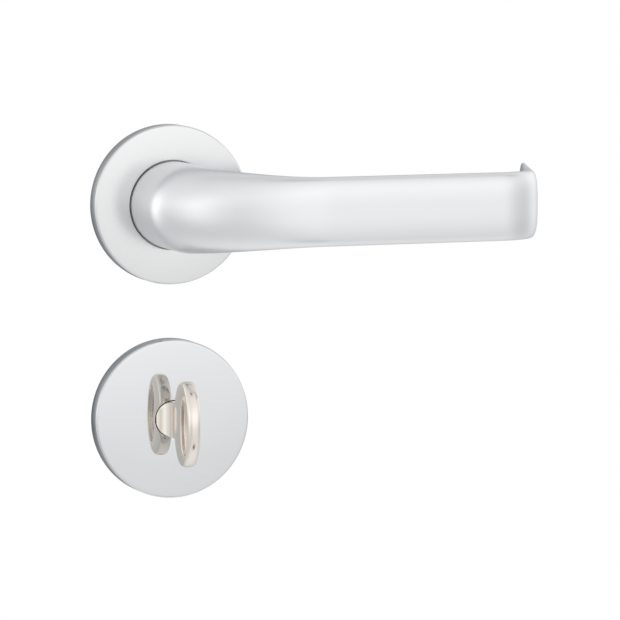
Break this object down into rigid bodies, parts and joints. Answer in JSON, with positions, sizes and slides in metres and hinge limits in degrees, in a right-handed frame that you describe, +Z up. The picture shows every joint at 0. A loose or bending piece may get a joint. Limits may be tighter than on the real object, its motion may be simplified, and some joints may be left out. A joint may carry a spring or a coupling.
{
  "type": "lever handle lockset",
  "caption": "Inside trim of a door lockset: a lever handle on a round rose with a return at its tip, above a matching round rose with an oval thumb turn.",
  "frame": {"origin": "where the lever's axis meets the door's face", "axes": "+Y into the door along the lever's axis, +X along the grip towards its tip, +Z up"},
  "size_m": [0.1413, 0.105, 0.122],
  "materials": {
    "black_steel": "black oxide",
    "brass": "machined",
    "foam": "matte",
    "nylon": "moulded",
    "polished_rose": "polished",
    "polished_turn": "polished",
    "satin_lever": "satin",
    "satin_rose": "satin",
    "spring_steel": "bright",
    "steel": "zinc plated",
    "zinc": "cast, passivated"
  },
  "bodies": {
    "trim": {"detent_balls": "spring_steel", "detent_springs": "spring_steel", "lower_bearing_bush": "nylon", "lower_closing_plate": "steel", "lower_fixing_screws": "steel", "lower_foam_gasket": "foam", "lower_rose_base": "zinc", "lower_rose_cover": "polished_rose", "return_spring": "spring_steel", "upper_bearing_bush": "nylon", "upper_closing_plate": "steel", "upper_fixing_screws": "steel", "upper_foam_gasket": "foam", "upper_rose_base": "zinc", "upper_rose_cover": "satin_rose"},
    "lever": {"lever_driver": "zinc", "lever_grub_screw": "black_steel", "lever_handle": "satin_lever", "lever_spindle": "steel", "upper_retaining_ring": "steel", "upper_thrust_washer": "steel"},
    "turn": {"detent_disc": "brass", "lower_retaining_ring": "steel", "lower_thrust_washer": "steel", "thumb_drive_pin": "steel", "thumb_spindle": "steel", "thumb_turn": "polished_turn"}
  },
  "joints": [
    {"name": "lever_turn", "type": "hinge", "parent": "trim", "child": "lever", "pos_m": [0, -0.0066, 0], "axis": [0, 1, 0], "range_deg": [0, 45], "stiffness_Nm_per_rad": 1.2, "springref_deg": -28.65, "deforming": ["return_spring"]},
    {"name": "thumb_turn_hinge", "type": "hinge", "parent": "trim", "child": "turn", "pos_m": [0, -0.0066, -0.07], "axis": [0, 1, 0], "range_deg": [0, 90]}
  ]
}
